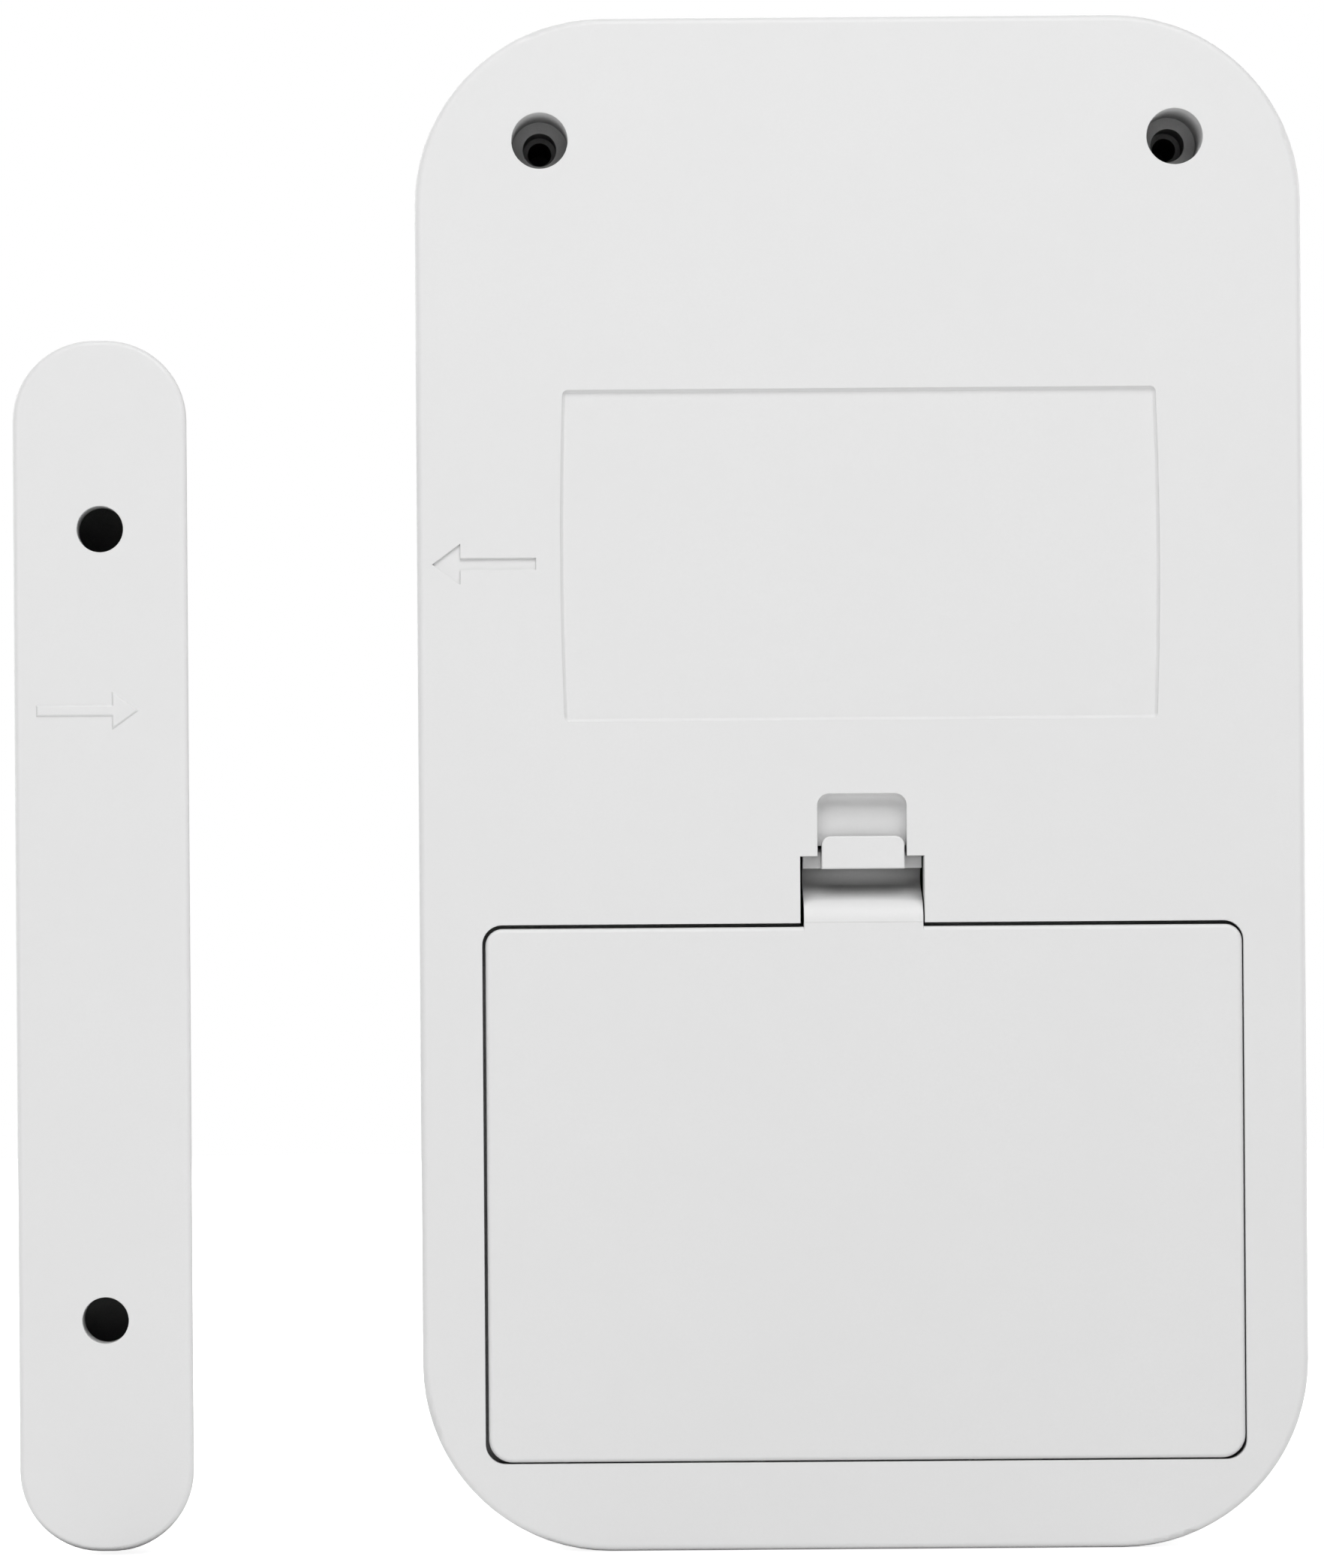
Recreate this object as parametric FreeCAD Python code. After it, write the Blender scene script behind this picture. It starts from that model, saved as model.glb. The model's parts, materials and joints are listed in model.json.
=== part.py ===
"""Two-part wireless door contact: a main unit with a battery door and a slim magnet unit.

Frame: the origin is the centre of the main unit's flat back face, which lies on the wall. +Z is up,
the back faces +Y and the front faces -Y, and the magnet unit stands at +X. All sizes are millimetres.
A depth is a distance inwards from the back face, so a point at depth d has y = -d.
"""

import FreeCAD, Part
import math
import os

Vector = FreeCAD.Vector

# ---------------------------------------------------------------- main unit
WIDTH, HEIGHT, THICKNESS = 66.7, 115.4, 19.0
CORNER_R = 14.1
WALL, BACK_T, FRONT_T = 2.0, 2.0, 2.2
SEAM_DEPTH = 6.5            # where the rear case meets the front shell
TONGUE_INSET, TONGUE_H = 1.1, 1.2
REBATE_INSET, REBATE_H = 1.0, 1.35
BACK_EDGE_R, FRONT_EDGE_R, FRONT_INNER_R = 0.5, 4.5, 3.0
GROOVE = 0.15               # bevel on both sides of a seam, which leaves a fine groove round the casing

# stepped screw holes in the rear case, with pilot holes in the front shell
SCREW_X, SCREW_Z = 23.9, 48.5
HEAD_BORE_R, SHANK_BORE_R, PILOT_R, BOSS_R = 2.12, 1.275, 0.89, 3.9
HEAD_BORE_DEPTH, BOSS_JOINT_DEPTH, PILOT_END_DEPTH = 5.4, 8.1, 15.6

# blank label recess, whose two upright sides bow outwards
LABEL_HALF_W, LABEL_BOW = 22.3, 0.25
LABEL_Z = (4.75, 29.7)
LABEL_DEPTH, LABEL_CORNER_R, LABEL_SLOPE = 0.3, 0.4, 0.2

# arrow marks: tip to barb, barb to tail, and half heights
ARROW_Z, ARROW_TIP_X, ARROW_DEPTH = 16.66, 32.2, 0.22
ARROW_HEAD_L, ARROW_SHAFT_L = 2.1, 5.7
ARROW_HEAD_HALF, ARROW_SHAFT_HALF = 1.53, 0.44

# ---------------------------------------------------------------- battery bay and cells
CELL_R, CELL_L, NUB_R, NUB_L, CELL_EDGE_R = 5.25, 44.5, 1.9, 0.9, 0.5
CELL_PITCH, CELL_DEPTH = 10.9, 7.35
CELL_COUNT = 3
BAY_HALF_L, BAY_WALL, BAY_FLOOR_DEPTH, BAY_FLOOR_T = 25.0, 1.2, 13.0, 1.2
BAY_TOP_Z, BAY_TOP_WALL = -16.2, 1.0
BAY_SIDE_GAP = 0.4
BAY_BOTTOM_Z = BAY_TOP_Z - 2 * BAY_SIDE_GAP - (CELL_COUNT - 1) * CELL_PITCH - 2 * CELL_R
CELL_Z = [BAY_TOP_Z - BAY_SIDE_GAP - CELL_R - i * CELL_PITCH for i in range(CELL_COUNT)]
CRADLE_RIB_W, CRADLE_RIB_H, CRADLE_RIB_HALF_L = 1.2, 1.6, 18.0

CONTACT_T = 0.4
CONTACT_HALF_W, CONTACT_DEPTHS = 4.0, (3.2, 12.2)
TERMINAL_HALF_W, TERMINAL_DEPTHS, TERMINAL_END_X = 1.5, (8.8, 9.2), 28.4
TERMINAL_SLOT_GAP = 0.2
SPRING_COIL_R, SPRING_WIRE_R, SPRING_TURNS, SPRING_END_GAP = 2.6, 0.3, 3.5, 0.05

# ---------------------------------------------------------------- battery door
DOOR_SHIFT = -0.08          # the door sits a little to one side in its opening
DOOR_HALF_W, DOOR_TOP_Z, DOOR_BOTTOM_Z = 28.5, -10.8, -51.0
DOOR_FACE_DEPTH, DOOR_BACK_DEPTH = 0.05, 1.6
DOOR_TOP_R, DOOR_BOTTOM_R = 1.3, 1.8
DOOR_PIVOT_R = 0.35         # rounding of the lower edge, about the pivot line
OPENING_HALF_W, OPENING_TOP_Z, OPENING_BOTTOM_Z = 28.65, -10.53, -51.1
OPENING_TOP_R, OPENING_BOTTOM_R = 1.5, 1.5
LEDGE_DEPTH, COLLAR_DEPTH = 1.8, 3.4
COLLAR_MARGIN = 1.6
HOOK_X, HOOK_HALF_W, HOOK_END_Z, HOOK_DEPTH = 10.5, 2.5, -52.9, 0.75
HOOK_SIDE_GAP, HOOK_POCKET_Z, HOOK_LIP_T = 0.3, (-53.4, -49.85), 0.65

# sprung latch: U-shaped strip, catch ledge and finger tab
LATCH_HALF_W, STRIP_T = 4.49, 0.8
STRIP_START_Z, SHOULDER_R = -10.5, 2.0
TROUGH_NEAR_Z, TROUGH_FAR_Z = -8.5, -6.4
TROUGH_CENTRE_DEPTH, STRIP_END_DEPTH = 3.3, 2.9
LEDGE_TOP_DEPTH, CATCH_NOSE_Z, CATCH_LEAD_IN = 1.75, -4.75, 0.45
TAB_HALF_W, TAB_Z, TAB_DEPTHS, TAB_CORNER_R, TAB_EDGE_R = 3.12, (-6.46, -4.0), (0.12, 0.87), 0.7, 0.12
STEM_Z = (-6.4, -4.9)

# the slot, the lip that the catch hooks under, and the finger recess
SLOT_HALF_W, SLOT_TOP_Z = 4.68, -5.5
LIP_DEPTH, CATCH_POCKET_TOP_Z = 1.55, -4.55
FINGER_HALF_W, FINGER_Z, FINGER_DEPTH = 3.36, (-4.7, -0.8), 1.5
FINGER_CORNER_R, FINGER_FLOOR_R = 0.9, 0.5
FINGER_PAD_DEPTH, FINGER_PAD_HALF_W, FINGER_PAD_TOP_Z = 2.9, 5.4, 0.4

# ---------------------------------------------------------------- electronics
BOARD_HALF_W, BOARD_Z, BOARD_DEPTHS = 29.0, (-15.0, 52.0), (11.0, 12.6)
BOARD_STEP_HALF_W, BOARD_STEP_Z, BOARD_STEP_LAP, BOARD_CORNER_R = 18.8, 43.0, 5.0, 1.5
BOARD_SCREW_SPOTS = [(-24.0, 36.0), (24.0, 36.0), (0.0, 4.0)]
BOARD_HOLE_R, STANDOFF_R, STANDOFF_HOLE_R, STANDOFF_HOLE_END = 1.15, 2.6, 1.05, 16.2
SCREW_HEAD_R, SCREW_HEAD_H, SCREW_HEAD_EDGE_R = 2.0, 1.4, 0.5
SCREW_SHANK_R, SCREW_L = 1.0, 5.0
CROSS_HALF_L, CROSS_HALF_W, CROSS_DEPTH = 1.1, 0.2, 0.7

# plain packages on the board: x, z, half width, half height, height above the board, edge radius
PACKAGES = {
    "microcontroller": (9.0, 24.0, 3.5, 3.5, 1.0, 0.15),
    "radio_shield": (-11.0, 30.0, 7.0, 5.5, 2.2, 0.4),
    "crystal": (9.0, 14.0, 2.5, 1.6, 1.1, 0.3),
}
CAPACITOR_X, CAPACITOR_Z, CAPACITOR_R, CAPACITOR_TOP_DEPTH, CAPACITOR_EDGE_R = -14.0, 12.0, 3.15, 5.6, 0.5
CAPACITOR_BASE_HALF, CAPACITOR_BASE_H, CAPACITOR_BASE_EDGE_R = 3.3, 0.8, 0.2

REED_X, REED_DEPTH, REED_R, REED_L = 27.0, 8.8, 1.1, 14.0
REED_END_R = 0.8
LEAD_R, LEAD_STRAIGHT, LEAD_BEND_R = 0.3, 2.6, 0.9
LED_Z, LED_HALF, LED_H = 46.0, (1.75, 1.4), 1.6
PIPE_R, PIPE_CLEARANCE, PIPE_DOME = 1.5, 0.05, 0.25

BUTTON_X, BUTTON_Z, BUTTON_R, BUTTON_HOLE_R = -18.0, -12.8, 1.4, 1.5
BUTTON_DEPTHS, BUTTON_FLANGE_R, BUTTON_FLANGE_DEPTHS = (2.1, 7.9), 2.1, (3.8, 4.6)
BUTTON_EDGE_R = 0.3
SWITCH_HALF, SWITCH_TOP_DEPTH, SWITCH_EDGE_R = 2.2, 9.0, 0.2
PLUNGER_R, PLUNGER_END_DEPTH, PLUNGER_WELL_R, PLUNGER_WELL_DEPTH = 1.0, 9.6, 1.1, 10.4

ANTENNA_Z, ANTENNA_DEPTH, ANTENNA_R, ANTENNA_WIRE_R = 48.5, 7.4, 1.9, 0.3
ANTENNA_HALF_L, ANTENNA_TURNS = 8.0, 10
WIRE_R, WIRE_X, WIRE_DEPTH, WIRE_BEND_R, WIRE_TOP_Z = 0.55, 27.6, 8.6, 1.2, -7.5

# ---------------------------------------------------------------- magnet unit
MAGNET_X, MAGNET_Z = 57.2, -11.85
MAGNET_WIDTH, MAGNET_HEIGHT, MAGNET_THICKNESS, MAGNET_CORNER_R = 13.15, 91.2, 12.0, 6.1
MAGNET_WALL, MAGNET_BACK_T, MAGNET_FRONT_T, MAGNET_SEAM = 1.5, 1.8, 1.6, 3.5
MAGNET_TONGUE_INSET, MAGNET_REBATE_INSET, MAGNET_TONGUE_H, MAGNET_REBATE_H = 0.9, 0.8, 0.9, 1.05
MAGNET_BACK_EDGE_R, MAGNET_FRONT_EDGE_R, MAGNET_INNER_R = 0.4, 3.0, 1.6
MAGNET_TAPER = math.tan(math.radians(3.5))      # how fast its sides draw in towards the front
MAGNET_HOLE_R, MAGNET_BOSS_R, MAGNET_BOSS_DEPTH = 1.75, 3.4, 2.6
MAGNET_HOLE_Z = (MAGNET_Z + 31.36, MAGNET_Z - 28.2)
MAGNET_ARROW_Z, MAGNET_ARROW_TIP_X, MAGNET_ARROW_H = MAGNET_Z + 17.7, MAGNET_X - 2.8, 0.14
MAGNET_ARROW_HEAD_L, MAGNET_ARROW_SHAFT_L = 1.97, 5.7
MAGNET_ARROW_HEAD_HALF, MAGNET_ARROW_SHAFT_HALF, MAGNET_ARROW_BEVEL = 1.42, 0.41, 0.1
BAR_HALF_W, BAR_HALF_L, BAR_T, BAR_EDGE_R = 3.0, 10.0, 4.5, 0.3
RIB_T, RIB_GAP = 1.0, 0.15

REACH = 1.0                 # how far a cutting tool runs past the face that it opens
OVERLAP = 0.2               # how far two shapes that are joined run into each other
NEAR = 0.01                 # how close two places count as the same


# ---------------------------------------------------------------- shape helpers
def block(x, z, depth):
    """A box over the given x, z and depth ranges."""
    (x0, x1), (z0, z1), (d0, d1) = x, z, depth
    return Part.makeBox(x1 - x0, d1 - d0, z1 - z0, Vector(x0, -d1, z0))


def rounded_outline(x, z, depth, low_r, high_r):
    """A closed wire at one depth: a rectangle with its lower and its upper corners rounded."""
    corners = [(x[0], z[0], 1, 1, low_r), (x[1], z[0], -1, 1, low_r),
               (x[1], z[1], -1, -1, high_r), (x[0], z[1], 1, -1, high_r)]
    ends = []
    for number, (cx, cz, sx, sz, r) in enumerate(corners):
        upright, level = Vector(cx, -depth, cz + sz * r), Vector(cx + sx * r, -depth, cz)
        slack = r * (1 - math.sqrt(0.5))
        middle = Vector(cx + sx * slack, -depth, cz + sz * slack)
        first, last = (upright, level) if number % 2 == 0 else (level, upright)
        ends.append((first, middle, last, r))
    edges = []
    for number, (first, middle, last, r) in enumerate(ends):
        if r:
            edges.append(Part.Arc(first, middle, last).toShape())
        edges.append(Part.LineSegment(last, ends[(number + 1) % 4][0]).toShape())
    return Part.Wire(edges)


def rounded_block(x, z, depth, low_r, high_r=None):
    """As block, with rounded corners when seen from behind."""
    wire = rounded_outline(x, z, depth[0], low_r, low_r if high_r is None else high_r)
    return Part.Face(wire).extrude(Vector(0, depth[0] - depth[1], 0))


def pin(x, z, radius, depth):
    """A round bar along Y over a depth range."""
    return Part.makeCylinder(radius, depth[1] - depth[0], Vector(x, -depth[0], z), Vector(0, -1, 0))


def edges_at_depth(shape, depth):
    """The edges that lie wholly at one depth."""
    return [e for e in shape.Edges
            if abs(e.BoundBox.YMin + depth) < NEAR and abs(e.BoundBox.YMax + depth) < NEAR]


def round_at_depth(shape, depth, radius):
    return shape.makeFillet(radius, edges_at_depth(shape, depth))


def bevel_at_depth(shape, depth, width):
    return shape.makeChamfer(width, edges_at_depth(shape, depth))


def joined(first, *others):
    """One clean solid from shapes that overlap or share faces."""
    return first.fuse(list(others)).removeSplitter() if others else first


def strip_solid(edges, x):
    """A closed outline in a plane of constant x, extruded over an x range."""
    return Part.Face(Part.Wire(edges)).extrude(Vector(x[1] - x[0], 0, 0))


def tube(points, radius, bend_r):
    """A round wire along straight runs, with an arc of one radius at every turn."""
    points = [Vector(*p) for p in points]
    edges, start = [], points[0]
    for before, corner, after in zip(points, points[1:], points[2:]):
        into, out = (corner - before).normalize(), (after - corner).normalize()
        turn = into.getAngle(out)
        back = bend_r * math.tan(turn / 2)
        first, last = corner - into * back, corner + out * back
        towards_centre = (out - into).normalize()
        middle = corner + towards_centre * (bend_r / math.cos(turn / 2) - bend_r)
        edges += [Part.LineSegment(start, first).toShape(), Part.Arc(first, middle, last).toShape()]
        start = last
    edges.append(Part.LineSegment(start, points[-1]).toShape())
    section = Part.Wire(Part.Circle(points[0], points[1] - points[0], radius).toShape())
    return Part.Wire(edges).makePipeShell([section], True, True)


def coil(radius, wire_r, turns, length):
    """A helical wire about the X axis, from x = 0 to x = length, starting at y = -radius.
    Its section is two half circles, so that neither swept face closes on itself along a seam."""
    path = Part.makeHelix(length / turns, length, radius)
    lead = Vector(0, radius, length / turns / (2 * math.pi))
    circle = Part.Circle(Vector(radius, 0, 0), lead, wire_r)
    halves = [Part.Arc(circle, start, start + math.pi).toShape() for start in (0, math.pi)]
    solid = Part.Wire(path.Edges).makePipeShell([Part.Wire(halves)], True, True)
    solid.rotate(Vector(), Vector(0, 1, 0), 90)
    solid.rotate(Vector(), Vector(1, 0, 0), -90)
    return solid


def arrow(tip_x, z, way, depth, head_l, shaft_l, head_half, shaft_half):
    """A block arrow on the back face. way is +1 where it points along +X, or -1."""
    barb, tail = tip_x - way * head_l, tip_x - way * (head_l + shaft_l)
    outline = [(tip_x, 0), (barb, head_half), (barb, shaft_half), (tail, shaft_half),
               (tail, -shaft_half), (barb, -shaft_half), (barb, -head_half), (tip_x, 0)]
    wire = Part.makePolygon([Vector(x, -depth[0], z + up) for x, up in outline])
    return Part.Face(wire).extrude(Vector(0, depth[0] - depth[1], 0))


# ---------------------------------------------------------------- main unit: casing
def case_block(inset, depth):
    """The main unit's outline, drawn in by inset, over a depth range."""
    x, z = WIDTH / 2 - inset, HEIGHT / 2 - inset
    return rounded_block((-x, x), (-z, z), depth, CORNER_R - inset)


def label_recess():
    """The cutting tool of the label recess: a shallow tray with bowed sides and a sloped rim."""
    low, high = LABEL_Z
    middle = (low + high) / 2
    bowed = LABEL_HALF_W + LABEL_BOW
    left_low, left_high = Vector(-LABEL_HALF_W, 0, low), Vector(-LABEL_HALF_W, 0, high)
    right_low, right_high = Vector(LABEL_HALF_W, 0, low), Vector(LABEL_HALF_W, 0, high)
    edges = [Part.LineSegment(left_low, right_low).toShape(),
             Part.Arc(right_low, Vector(bowed, 0, middle), right_high).toShape(),
             Part.LineSegment(right_high, left_high).toShape(),
             Part.Arc(left_high, Vector(-bowed, 0, middle), left_low).toShape()]
    tray = Part.Face(Part.Wire(edges)).extrude(Vector(0, -LABEL_DEPTH, 0))
    uprights = [e for e in tray.Edges if e.BoundBox.YLength > LABEL_DEPTH / 2]
    tray = tray.makeFillet(LABEL_CORNER_R, uprights)
    return bevel_at_depth(tray, LABEL_DEPTH, LABEL_SLOPE)


def bay_walls():
    """The outside of the battery bay, and the collar under the door's ledge."""
    x, bottom, top = BAY_HALF_L + BAY_WALL, BAY_BOTTOM_Z - BAY_WALL, BAY_TOP_Z + BAY_TOP_WALL
    collar_x = OPENING_HALF_W + COLLAR_MARGIN
    collar_z = (OPENING_BOTTOM_Z - COLLAR_MARGIN, OPENING_TOP_Z + COLLAR_MARGIN)
    start = BACK_T - REACH
    return [rounded_block((-collar_x, collar_x), collar_z, (start, COLLAR_DEPTH), DOOR_BOTTOM_R),
            block((-x, x), (bottom, top), (start, BAY_FLOOR_DEPTH + BAY_FLOOR_T))]


def bay_cutters():
    """What is cut away for the door, the cells and the contacts' terminals."""
    opening = rounded_block((-OPENING_HALF_W, OPENING_HALF_W), (OPENING_BOTTOM_Z, OPENING_TOP_Z),
                            (-REACH, LEDGE_DEPTH), OPENING_BOTTOM_R, OPENING_TOP_R)
    inside = block((-BAY_HALF_L, BAY_HALF_L), (BAY_BOTTOM_Z, BAY_TOP_Z), (-REACH, BAY_FLOOR_DEPTH))
    cutters = [opening, inside]
    depths = (TERMINAL_DEPTHS[0] - TERMINAL_SLOT_GAP, TERMINAL_DEPTHS[1] + TERMINAL_SLOT_GAP)
    half_w = TERMINAL_HALF_W + TERMINAL_SLOT_GAP
    for side, z in ((-1, CELL_Z[0]), (1, CELL_Z[-1])):
        x = sorted((side * (BAY_HALF_L - REACH), side * (BAY_HALF_L + BAY_WALL + REACH)))
        cutters.append(block(x, (z - half_w, z + half_w), depths))
    for side in (-1, 1):
        x = DOOR_SHIFT + side * HOOK_X
        half_w = HOOK_HALF_W + HOOK_SIDE_GAP
        cutters.append(block((x - half_w, x + half_w), HOOK_POCKET_Z, (HOOK_LIP_T, COLLAR_DEPTH + REACH)))
    cutters.append(pin(BUTTON_X, BUTTON_Z, BUTTON_HOLE_R, (0, COLLAR_DEPTH + REACH)))
    return cutters


def latch_cutters():
    """The latch slot, the way through for the tab's stem, the catch's pocket and the finger recess."""
    through = (-REACH, COLLAR_DEPTH + REACH)
    slot = block((-SLOT_HALF_W, SLOT_HALF_W), (OPENING_TOP_Z - OVERLAP, SLOT_TOP_Z), through)
    stem_way = block((-FINGER_HALF_W, FINGER_HALF_W), (SLOT_TOP_Z - OVERLAP, FINGER_Z[0]), through)
    pocket = block((-SLOT_HALF_W, SLOT_HALF_W), (SLOT_TOP_Z - OVERLAP, CATCH_POCKET_TOP_Z),
                   (LIP_DEPTH, COLLAR_DEPTH + REACH))
    recess = rounded_block((-FINGER_HALF_W, FINGER_HALF_W), (FINGER_Z[0] - REACH, FINGER_Z[1]),
                           (-REACH, FINGER_DEPTH), 0, FINGER_CORNER_R)
    recess = round_at_depth(recess, FINGER_DEPTH, FINGER_FLOOR_R)
    return [slot, stem_way, pocket, recess]


def cradle_ribs():
    """Low ribs on the bay's floor, between the cells."""
    ribs = []
    for upper, lower in zip(CELL_Z, CELL_Z[1:]):
        z = (upper + lower) / 2
        ribs.append(block((-CRADLE_RIB_HALF_L, CRADLE_RIB_HALF_L),
                          (z - CRADLE_RIB_W / 2, z + CRADLE_RIB_W / 2),
                          (BAY_FLOOR_DEPTH - CRADLE_RIB_H, BAY_FLOOR_DEPTH + OVERLAP)))
    return ribs


def rear_case():
    shell = round_at_depth(case_block(0, (0, SEAM_DEPTH)), 0, BACK_EDGE_R)
    shell = bevel_at_depth(shell, SEAM_DEPTH, GROOVE)
    shell = shell.cut(case_block(WALL, (BACK_T, SEAM_DEPTH + REACH)))
    tongue = case_block(TONGUE_INSET, (SEAM_DEPTH - REACH, SEAM_DEPTH + TONGUE_H))
    tongue = tongue.cut(case_block(WALL, (0, SEAM_DEPTH + TONGUE_H + REACH)))
    bosses = [pin(side * SCREW_X, SCREW_Z, BOSS_R, (BACK_T - REACH, BOSS_JOINT_DEPTH))
              for side in (-1, 1)]
    pad = block((-FINGER_PAD_HALF_W, FINGER_PAD_HALF_W), (CATCH_POCKET_TOP_Z, FINGER_PAD_TOP_Z),
                (BACK_T - REACH, FINGER_PAD_DEPTH))
    shell = joined(shell, tongue, pad, *bosses, *bay_walls())
    cutters = bay_cutters() + latch_cutters() + [label_recess()]
    cutters.append(arrow(ARROW_TIP_X, ARROW_Z, 1, (0, ARROW_DEPTH), ARROW_HEAD_L, ARROW_SHAFT_L,
                         ARROW_HEAD_HALF, ARROW_SHAFT_HALF))
    for side in (-1, 1):
        cutters.append(pin(side * SCREW_X, SCREW_Z, HEAD_BORE_R, (-REACH, HEAD_BORE_DEPTH)))
        cutters.append(pin(side * SCREW_X, SCREW_Z, SHANK_BORE_R, (0, BOSS_JOINT_DEPTH + REACH)))
    return joined(shell.cut(cutters), *cradle_ribs())


def front_shell():
    inner_depth = THICKNESS - FRONT_T
    shell = round_at_depth(case_block(0, (SEAM_DEPTH, THICKNESS)), THICKNESS, FRONT_EDGE_R)
    shell = bevel_at_depth(shell, SEAM_DEPTH, GROOVE)
    hollow = case_block(WALL, (SEAM_DEPTH - REACH, inner_depth))
    shell = shell.cut([round_at_depth(hollow, inner_depth, FRONT_INNER_R),
                       case_block(REBATE_INSET, (SEAM_DEPTH - REACH, SEAM_DEPTH + REBATE_H))])
    bosses = [pin(side * SCREW_X, SCREW_Z, BOSS_R, (BOSS_JOINT_DEPTH, inner_depth + REACH))
              for side in (-1, 1)]
    standoffs = [pin(x, z, STANDOFF_R, (BOARD_DEPTHS[1], inner_depth + REACH))
                 for x, z in BOARD_SCREW_SPOTS]
    shell = joined(shell, *bosses, *standoffs)
    cutters = [pin(side * SCREW_X, SCREW_Z, PILOT_R, (BOSS_JOINT_DEPTH - REACH, PILOT_END_DEPTH))
               for side in (-1, 1)]
    cutters += [pin(x, z, STANDOFF_HOLE_R, (BOARD_DEPTHS[1] - REACH, STANDOFF_HOLE_END))
                for x, z in BOARD_SCREW_SPOTS]
    cutters.append(pin(0, LED_Z, PIPE_R + PIPE_CLEARANCE, (inner_depth - REACH, THICKNESS + REACH)))
    return shell.cut(cutters)


# ---------------------------------------------------------------- main unit: battery door and latch
def battery_door():
    x = (DOOR_SHIFT - DOOR_HALF_W, DOOR_SHIFT + DOOR_HALF_W)
    plate = rounded_block(x, (DOOR_BOTTOM_Z, DOOR_TOP_Z), (DOOR_FACE_DEPTH, DOOR_BACK_DEPTH),
                          DOOR_BOTTOM_R, DOOR_TOP_R)
    outer = edges_at_depth(plate, DOOR_FACE_DEPTH)
    lower = [e for e in outer if e.BoundBox.ZMax < DOOR_BOTTOM_Z + NEAR]
    plate = plate.makeFillet(DOOR_PIVOT_R, lower)
    tongue = block((DOOR_SHIFT - LATCH_HALF_W, DOOR_SHIFT + LATCH_HALF_W),
                   (DOOR_TOP_Z - REACH, STRIP_START_Z), (DOOR_FACE_DEPTH, DOOR_FACE_DEPTH + STRIP_T))
    hooks = [block((DOOR_SHIFT + side * HOOK_X - HOOK_HALF_W, DOOR_SHIFT + side * HOOK_X + HOOK_HALF_W),
                   (HOOK_END_Z, DOOR_BOTTOM_Z + REACH), (HOOK_DEPTH, DOOR_BACK_DEPTH))
             for side in (-1, 1)]
    return joined(plate, tongue, *hooks)


def latch_spring():
    """The strip that runs from the door over a shoulder, down into a U and up to the catch."""
    def at(depth, z):
        return Vector(DOOR_SHIFT - LATCH_HALF_W, -depth, z)

    def line(first, last):
        return Part.LineSegment(at(*first), at(*last)).toShape()

    def arc(first, middle, last):
        return Part.Arc(at(*first), at(*middle), at(*last)).toShape()

    face, under = DOOR_FACE_DEPTH, DOOR_FACE_DEPTH + STRIP_T
    shoulder = (DOOR_FACE_DEPTH + SHOULDER_R, STRIP_START_Z)
    inner_r = SHOULDER_R - STRIP_T
    near, far = TROUGH_NEAR_Z, TROUGH_FAR_Z
    near_under, far_under = near - STRIP_T, far + STRIP_T
    deep, centre_z = TROUGH_CENTRE_DEPTH, (near + far) / 2
    trough_r = (far - near) / 2
    half = math.sqrt(0.5)
    outline = [
        arc((face, shoulder[1]),
            (shoulder[0] - SHOULDER_R * half, shoulder[1] + SHOULDER_R * half),
            (shoulder[0], near)),
        line((shoulder[0], near), (deep, near)),
        arc((deep, near), (deep + trough_r, centre_z), (deep, far)),
        line((deep, far), (STRIP_END_DEPTH, far)),
        line((STRIP_END_DEPTH, far), (STRIP_END_DEPTH, far_under)),
        line((STRIP_END_DEPTH, far_under), (deep, far_under)),
        arc((deep, far_under), (deep + trough_r + STRIP_T, centre_z), (deep, near_under)),
        line((deep, near_under), (shoulder[0], near_under)),
        arc((shoulder[0], near_under),
            (shoulder[0] - inner_r * half, shoulder[1] + inner_r * half),
            (under, shoulder[1])),
        line((under, shoulder[1]), (face, shoulder[1])),
    ]
    return strip_solid(outline, (0, 2 * LATCH_HALF_W))


def latch_catch():
    """The ledge that hooks under the case's lip, and the finger tab that stands on it."""
    ledge = block((DOOR_SHIFT - LATCH_HALF_W, DOOR_SHIFT + LATCH_HALF_W),
                  (TROUGH_FAR_Z, CATCH_NOSE_Z), (LEDGE_TOP_DEPTH, STRIP_END_DEPTH))
    nose = [e for e in edges_at_depth(ledge, LEDGE_TOP_DEPTH) if e.BoundBox.ZMin > CATCH_NOSE_Z - NEAR]
    ledge = ledge.makeChamfer(CATCH_LEAD_IN, nose)
    tab_x = (DOOR_SHIFT - TAB_HALF_W, DOOR_SHIFT + TAB_HALF_W)
    stem = block(tab_x, STEM_Z, (TAB_DEPTHS[0] + OVERLAP, LEDGE_TOP_DEPTH + OVERLAP))
    tab = rounded_block(tab_x, TAB_Z, TAB_DEPTHS, 0, TAB_CORNER_R)
    tab = round_at_depth(tab, TAB_DEPTHS[0], TAB_EDGE_R)
    return joined(ledge, stem, tab)


# ---------------------------------------------------------------- main unit: cells and contacts
def plus_side(number):
    """The side, -1 or +1 along X, that a cell's positive end faces. The cells alternate."""
    return -1 if number % 2 == 0 else 1


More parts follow.
